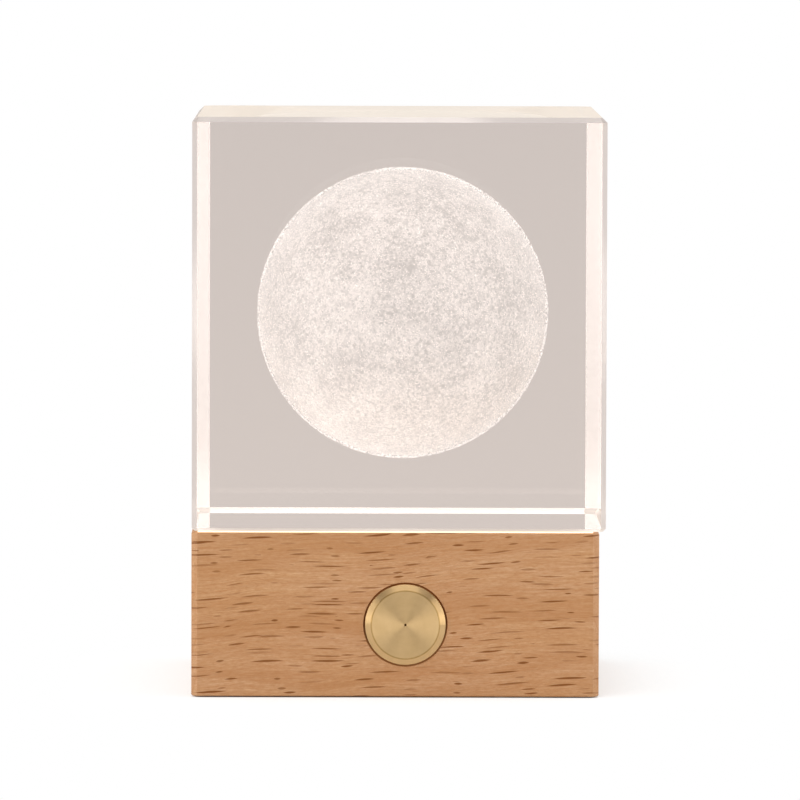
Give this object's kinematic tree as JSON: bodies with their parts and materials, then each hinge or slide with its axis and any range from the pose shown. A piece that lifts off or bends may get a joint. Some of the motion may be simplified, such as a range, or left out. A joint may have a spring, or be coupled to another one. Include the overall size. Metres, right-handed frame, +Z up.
{
  "type": "crystal cube night light",
  "caption": "Bevelled crystal cube with a moon engraved inside, lit from below by a hollow beech block that has a brass push-button and a charging socket.",
  "frame": {"origin": "on the table, under the middle of the wooden block", "axes": "+Z up, -Y out of the front face with the button, +X to the viewer's right when looking at the front"},
  "size_m": [0.0406, 0.0407, 0.0569],
  "materials": {
    "beech_wood": "satin",
    "black_moulding": "matte",
    "zinc_steel": "satin",
    "grip_foam": "matte",
    "crystal_glass": "polished",
    "engraved_glass": "matte",
    "clear_adhesive": "gloss",
    "opal_acrylic": "satin",
    "turned_brass": "satin",
    "black_nylon": "matte",
    "tinned_steel": "satin",
    "plunger_plastic": "satin",
    "spring_steel": "satin",
    "board_laminate": "satin",
    "lamp_housing": "satin",
    "lamp_phosphor": "satin",
    "nickel_plate": "gloss",
    "gold_plate": "gloss",
    "chip_epoxy": "matte",
    "resistor_ceramic": "satin",
    "capacitor_ceramic": "satin",
    "pouch_foil": "satin",
    "amber_tape": "gloss",
    "foam_tape": "matte",
    "red_insulation": "satin",
    "black_insulation": "satin"
  },
  "bodies": {
    "lamp_body": {"wood_base": "beech_wood", "bottom_cover": "black_moulding", "cover_screws": "zinc_steel", "grip_pad": "grip_foam", "crystal_cube": "crystal_glass", "engraved_moon": "engraved_glass", "adhesive_film": "clear_adhesive", "light_window": "opal_acrylic", "switch_body": "black_nylon", "switch_cover": "tinned_steel", "switch_dome": "spring_steel", "switch_bracket": "tinned_steel", "switch_terminals": "tinned_steel", "control_board": "board_laminate", "board_screws": "zinc_steel", "lamp_packages": "lamp_housing", "lamp_phosphors": "lamp_phosphor", "charging_socket_shell": "nickel_plate", "charging_socket_tongue": "black_nylon", "charging_socket_contacts": "gold_plate", "circuit_chips": "chip_epoxy", "chip_legs": "tinned_steel", "chip_resistors": "resistor_ceramic", "chip_capacitors": "capacitor_ceramic", "battery_cell": "pouch_foil", "battery_end_tape": "amber_tape", "battery_foam_tape": "foam_tape", "battery_lead_positive": "red_insulation", "battery_lead_negative": "black_insulation"},
    "button": {"brass_button": "turned_brass"},
    "plunger": {"switch_plunger": "plunger_plastic"}
  },
  "joints": [
    {"name": "button_slide", "type": "slide", "parent": "lamp_body", "child": "button", "axis": [0, 1, 0], "range_m": [0, 0.00025], "stiffness_N_per_m": 6400, "deforming": ["switch_dome"]},
    {"name": "plunger_slide", "type": "slide", "parent": "lamp_body", "child": "plunger", "axis": [0, 1, 0], "range_m": [0, 0.00025]}
  ],
  "couplings": [
    {"joint": "plunger_slide", "follows": "button_slide", "ratio": 1}
  ]
}
